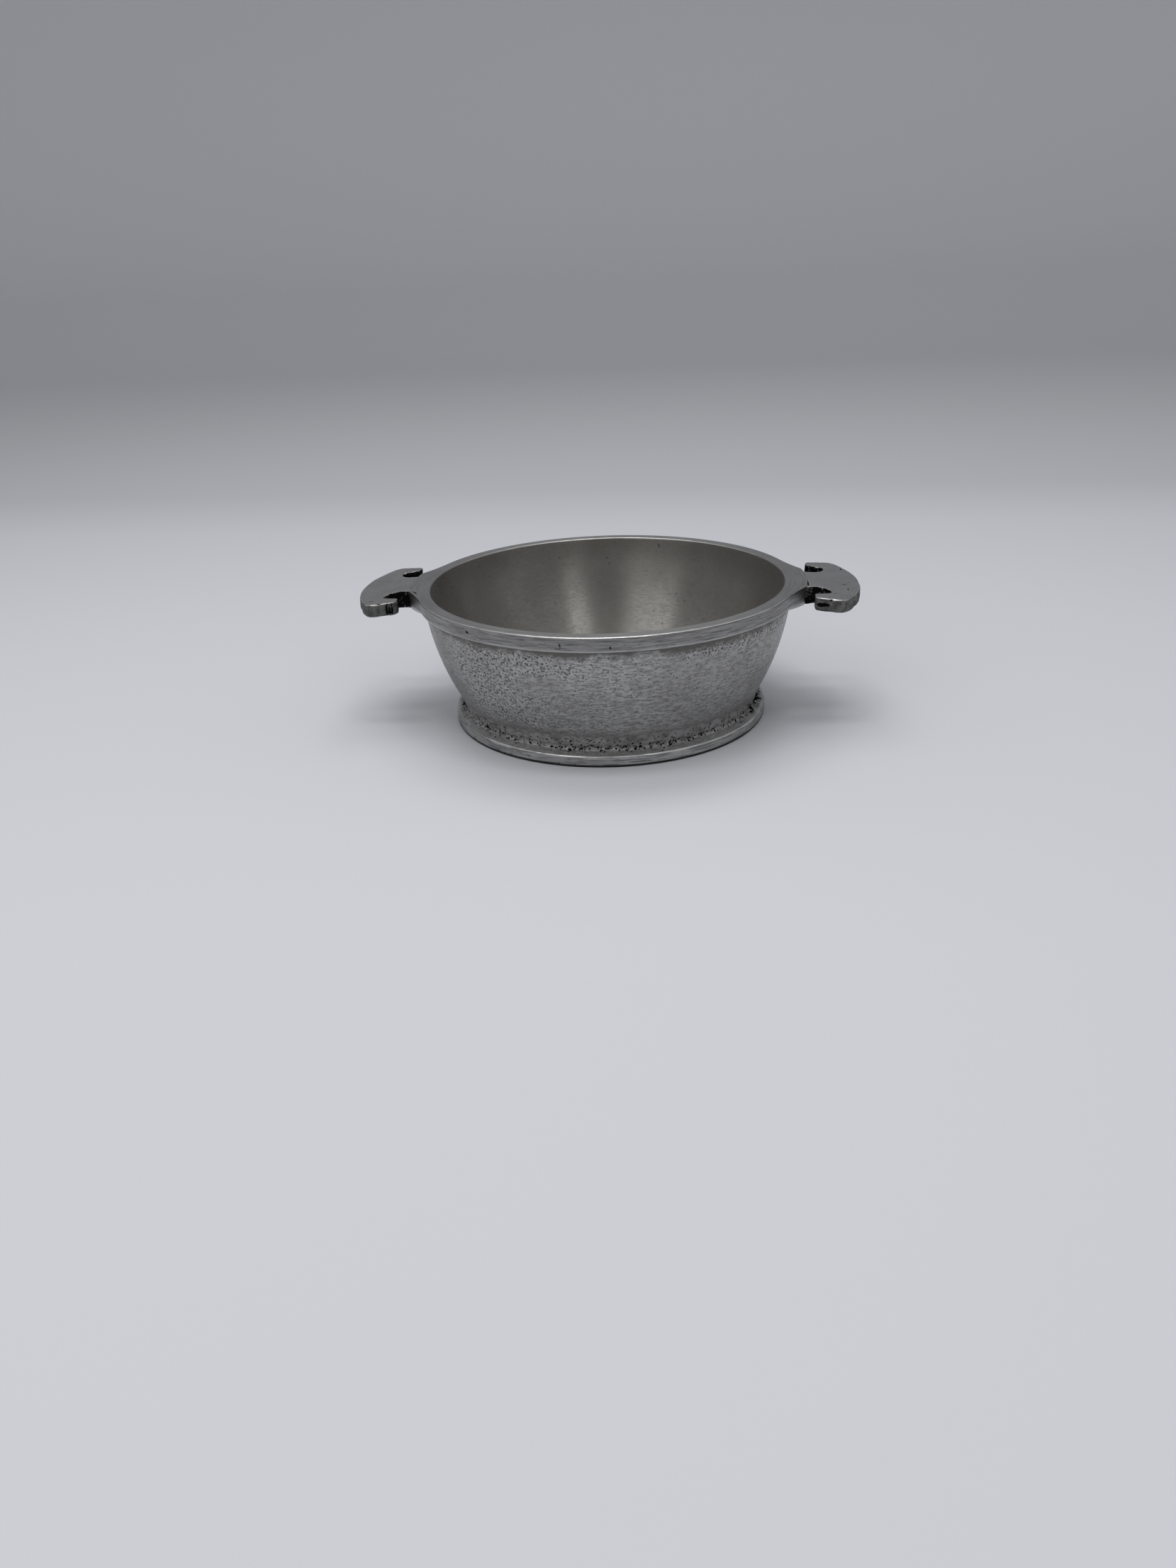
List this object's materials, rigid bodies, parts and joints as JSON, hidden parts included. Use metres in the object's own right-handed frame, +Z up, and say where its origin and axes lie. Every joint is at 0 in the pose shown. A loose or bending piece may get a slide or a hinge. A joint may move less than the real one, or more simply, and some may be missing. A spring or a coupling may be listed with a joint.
{
  "type": "cooking pot",
  "caption": "Low round cast-aluminium cooking pot with a hammered wall, a turned rim band, a flared foot ring and flat hooked handles on opposite sides.",
  "frame": {"origin": "on the pot's axis, at the plane that the foot ring stands on", "axes": "+Z up along the pot's axis, +X through the middle of the right handle as seen with the pot's front facing -Y"},
  "size_m": [0.2168, 0.1648, 0.059],
  "materials": {
    "hammered_wall": "hammered and polished cast aluminium outside, turned inside",
    "turned_rim": "lathe-turned satin aluminium with fine brush lines",
    "cast_foot": "sand-cast aluminium, pitted at the corner, edge turned",
    "cast_handle": "sand-cast aluminium, faces ground smooth, notches rough and dark"
  },
  "bodies": {
    "root": {"bowl": "hammered_wall", "rim_band": "turned_rim", "foot_ring": "cast_foot", "left_handle": "cast_handle", "right_handle": "cast_handle"}
  },
  "joints": []
}
